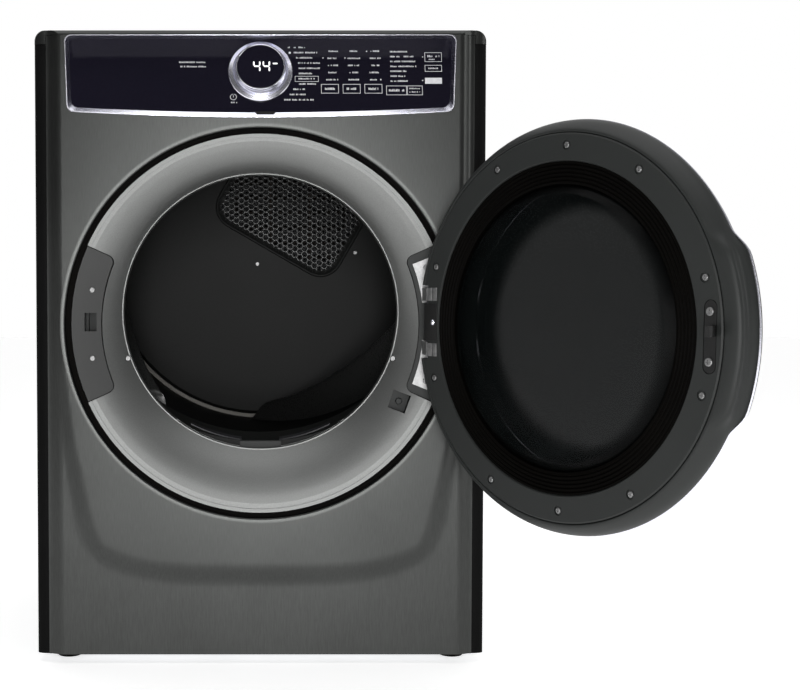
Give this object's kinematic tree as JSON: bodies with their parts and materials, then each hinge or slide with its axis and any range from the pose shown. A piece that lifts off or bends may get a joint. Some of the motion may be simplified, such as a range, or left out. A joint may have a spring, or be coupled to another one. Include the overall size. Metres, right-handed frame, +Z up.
{
  "type": "clothes dryer",
  "caption": "Front-loading clothes dryer with a round side-hinged door, sloped control console with a turning dial, belt-driven drum and rear exhaust duct.",
  "frame": {"origin": "centre of the cabinet's footprint on the floor, at the feet's undersides", "axes": "+X to the right seen from the front, +Y from the front to the back, +Z up; the door faces -Y"},
  "size_m": [0.935, 1.2508, 0.965],
  "materials": {
    "titanium": "dark metallic, finely brushed",
    "dark_plastic": "charcoal, fine grain",
    "black_plastic": "black",
    "drum_grey": "dark grey enamel",
    "vane_plastic": "dark grey, smooth",
    "galvanised": "zinc coated sheet",
    "bright_trim": "satin chrome",
    "console_glass": "navy black gloss",
    "zinc": "bright zinc",
    "seal_rubber": "black brown",
    "felt": "wool felt",
    "tinted_glass": "dark tinted",
    "circuit_board": "green laminate",
    "element_wire": "oxidised",
    "motor_steel": "black enamel",
    "mesh": "fine woven mesh"
  },
  "bodies": {
    "cabinet": {"side_left": "titanium", "side_right": "titanium", "top_panel": "titanium", "front_panel": "titanium", "recess_ring": "seal_rubber", "door_ring": "titanium", "latch_plate": "titanium", "latch_receptacle": "dark_plastic", "hinge_pocket": "dark_plastic", "cabinet_screws": "zinc", "base_pan": "galvanised", "levelling_feet": "seal_rubber", "rear_panel": "galvanised", "terminal_cover": "dark_plastic", "console_trim": "bright_trim", "console_face": "console_glass", "console_housing": "dark_plastic", "control_board": "circuit_board", "display_disc": "dark_plastic", "front_bulkhead": "drum_grey", "front_felt": "felt", "rear_felt": "felt", "lint_duct": "galvanised", "moisture_bars": "zinc", "rear_bulkhead": "drum_grey", "inlet_grille": "galvanised", "heater_box": "galvanised", "heating_element": "element_wire", "thermostats": "zinc", "roller_shafts": "zinc", "drum_belt": "seal_rubber", "motor_body": "motor_steel", "motor_bracket": "galvanised", "blower_housing": "galvanised", "exhaust_duct": "galvanised", "drum_light": "tinted_glass", "switch_body": "dark_plastic", "hinge_wings": "zinc", "hinge_pins": "zinc"},
    "drum": {"drum_shell": "drum_grey", "drum_vanes": "vane_plastic"},
    "rotor": {"motor_rotor": "motor_steel", "blower_wheel": "black_plastic"},
    "idler_arm": {"idler_arm": "galvanised"},
    "idler": {"idler_pulley": "dark_plastic"},
    "roller_left": {"roller_left": "seal_rubber"},
    "roller_right": {"roller_right": "seal_rubber"},
    "dial": {"dial_ring": "bright_trim"},
    "lint_filter": {"lint_filter": "dark_plastic", "lint_screen": "mesh"},
    "switch_plunger": {"switch_plunger": "dark_plastic"},
    "door": {"door_shell": "dark_plastic", "door_trim_ring": "bright_trim", "door_lens": "tinted_glass", "door_inner_panel": "dark_plastic", "door_gasket": "seal_rubber", "door_glass": "tinted_glass", "door_screws": "zinc", "door_striker": "black_plastic", "door_knuckles": "black_plastic"}
  },
  "joints": [
    {"name": "door_hinge", "type": "hinge", "parent": "cabinet", "child": "door", "pos_m": [0.2584, -0.396, 0.521], "axis": [0, 0, 1], "range_deg": [-125.8, 30]},
    {"name": "drum_spin", "type": "hinge", "parent": "cabinet", "child": "drum", "pos_m": [0, 0, 0.634], "axis": [0, 1, 0], "continuous": true},
    {"name": "motor_spin", "type": "hinge", "parent": "cabinet", "child": "rotor", "pos_m": [0.084, 0, 0.112], "axis": [0, 1, 0], "continuous": true},
    {"name": "idler_arm_pivot", "type": "hinge", "parent": "cabinet", "child": "idler_arm", "pos_m": [0.02, 0.104, 0.215], "axis": [0, 1, 0], "range_deg": [0, 12], "stiffness_Nm_per_rad": 6, "springref_deg": -17.19},
    {"name": "idler_spin", "type": "hinge", "parent": "idler_arm", "child": "idler", "pos_m": [-0.038, 0.12, 0.175], "axis": [0, 1, 0], "continuous": true},
    {"name": "roller_left_spin", "type": "hinge", "parent": "cabinet", "child": "roller_left", "pos_m": [-0.22465, 0.214, 0.36627], "axis": [0, 1, 0], "continuous": true},
    {"name": "roller_right_spin", "type": "hinge", "parent": "cabinet", "child": "roller_right", "pos_m": [0.22465, 0.214, 0.36627], "axis": [0, 1, 0], "continuous": true},
    {"name": "dial_turn", "type": "hinge", "parent": "cabinet", "child": "dial", "pos_m": [0, -0.33865, 0.90521], "axis": [0, -0.9613, 0.2756], "continuous": true},
    {"name": "lint_filter_pull", "type": "slide", "parent": "cabinet", "child": "lint_filter", "axis": [0, 0, 1], "range_m": [0, 0.19]},
    {"name": "switch_press", "type": "slide", "parent": "cabinet", "child": "switch_plunger", "axis": [0, 1, 0], "range_m": [0, 0.0035], "stiffness_N_per_m": 150, "springref_m": -0.002}
  ],
  "couplings": [
    {"joint": "motor_spin", "follows": "drum_spin", "ratio": 23.667},
    {"joint": "idler_spin", "follows": "drum_spin", "ratio": 11.924},
    {"joint": "roller_left_spin", "follows": "drum_spin", "ratio": -8.1895},
    {"joint": "roller_right_spin", "follows": "drum_spin", "ratio": -8.1895}
  ]
}
